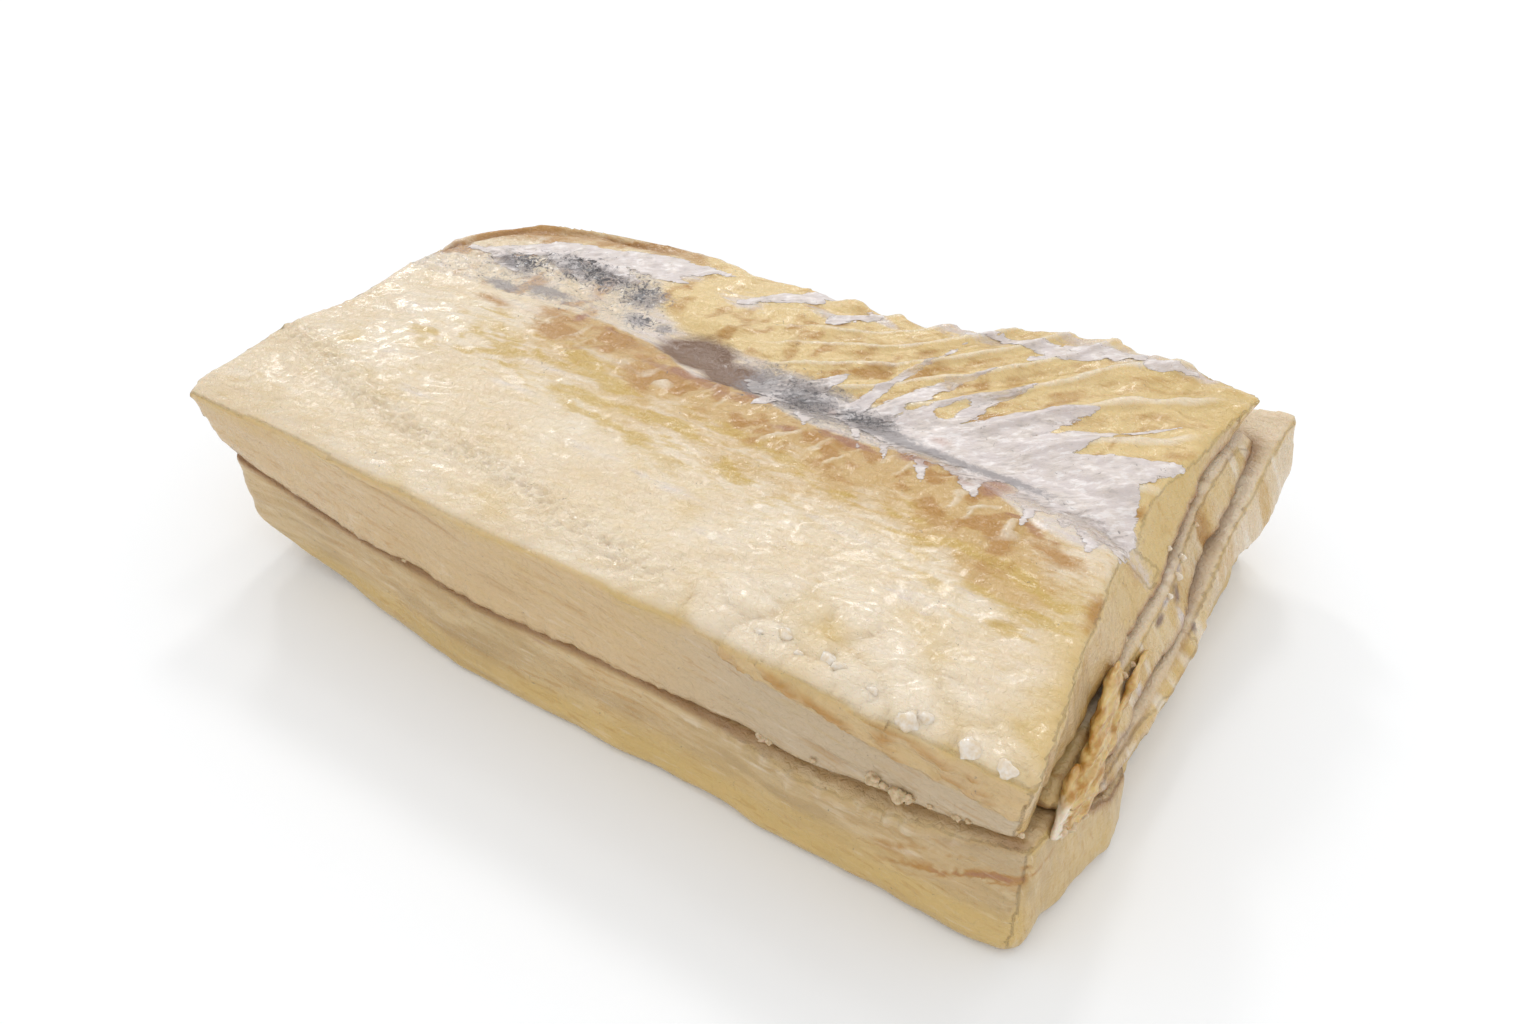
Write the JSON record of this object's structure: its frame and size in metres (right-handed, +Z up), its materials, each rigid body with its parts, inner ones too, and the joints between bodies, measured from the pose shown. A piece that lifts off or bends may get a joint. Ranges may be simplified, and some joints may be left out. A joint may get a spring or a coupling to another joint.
{
  "type": "salted dried cod block",
  "caption": "Rectangular block of salt-cured cod: two thick loins pressed together with thinner folded flaps between them and a flat underside.",
  "frame": {"origin": "middle of the flat underside, at the centre of the block's bounding box in plan", "axes": "+X along the block's length towards the wide cut end, -Y towards the long cut front, +Z up through the stacked loins"},
  "size_m": [0.2979, 0.196, 0.0613],
  "materials": {
    "cream_flesh": "moist cream salt-cured cod flesh, softly glossy",
    "amber_flap_flesh": "moist amber and cream flap flesh with pale membrane",
    "pale_flap_flesh": "moist pale flap flesh with a yellow rim",
    "olive_cream_flesh": "moist olive-cream cut flesh, satin"
  },
  "bodies": {
    "root": {"top_loin": "cream_flesh", "upper_flap": "amber_flap_flesh", "lower_flap": "pale_flap_flesh", "bottom_loin": "olive_cream_flesh"}
  },
  "joints": []
}
